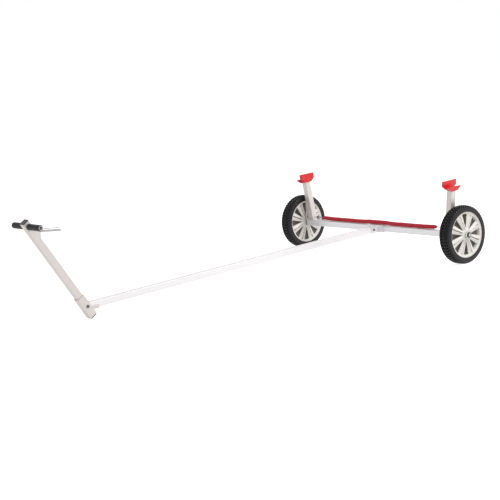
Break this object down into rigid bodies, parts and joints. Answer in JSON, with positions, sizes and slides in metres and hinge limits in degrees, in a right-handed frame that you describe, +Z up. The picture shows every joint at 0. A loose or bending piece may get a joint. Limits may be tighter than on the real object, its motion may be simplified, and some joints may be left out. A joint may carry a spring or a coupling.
{
  "type": "dinghy trolley",
  "caption": "Two-wheeled launching trolley: square-tube T frame, leaning gunwale uprights with pads, foam support sleeve and a raked handle post.",
  "frame": {"origin": "centre of the trolley's footprint box on the ground, parked on its wheels and foot", "axes": "+X forward to the handle, +Y left, +Z up"},
  "size_m": [2.9046, 1.596, 0.6125],
  "materials": {
    "aluminium_tube": "satin",
    "polished_steel": "polished",
    "black_plastic": "matte",
    "red_plastic": "satin",
    "red_foam": "matte",
    "grey_cord": "matte",
    "tyre_rubber": "matte",
    "rim_plastic": "satin",
    "grip_rubber": "matte"
  },
  "bodies": {
    "frame": {"main_beam": "aluminium_tube", "centre_fitting": "aluminium_tube", "support_sleeve": "red_foam", "sling_cord": "grey_cord", "post_socket": "aluminium_tube", "handle_post": "aluminium_tube", "post_top_cap": "black_plastic", "post_foot_cap": "black_plastic", "handle_bar": "aluminium_tube", "bow_spigot": "polished_steel", "spigot_bracket": "aluminium_tube", "axle_beam_left": "aluminium_tube", "axle_plug_left": "black_plastic", "stub_axle_left": "polished_steel", "axle_clip_left": "black_plastic", "upright_left": "aluminium_tube", "upright_gusset_left": "aluminium_tube", "gunwale_pad_left": "red_plastic", "grip_left": "grip_rubber", "axle_beam_right": "aluminium_tube", "axle_plug_right": "black_plastic", "stub_axle_right": "polished_steel", "axle_clip_right": "black_plastic", "upright_right": "aluminium_tube", "upright_gusset_right": "aluminium_tube", "gunwale_pad_right": "red_plastic", "grip_right": "grip_rubber"},
    "wheel_left": {"tyre_left": "tyre_rubber", "rim_left": "rim_plastic", "hub_bush_left": "black_plastic"},
    "wheel_right": {"tyre_right": "tyre_rubber", "rim_right": "rim_plastic", "hub_bush_right": "black_plastic"}
  },
  "joints": [
    {"name": "wheel_left_spin", "type": "hinge", "parent": "frame", "child": "wheel_left", "pos_m": [-1.26726, 0.737, 0.185], "axis": [0, 1, 0], "continuous": true},
    {"name": "wheel_right_spin", "type": "hinge", "parent": "frame", "child": "wheel_right", "pos_m": [-1.26726, -0.737, 0.185], "axis": [0, 1, 0], "continuous": true}
  ]
}
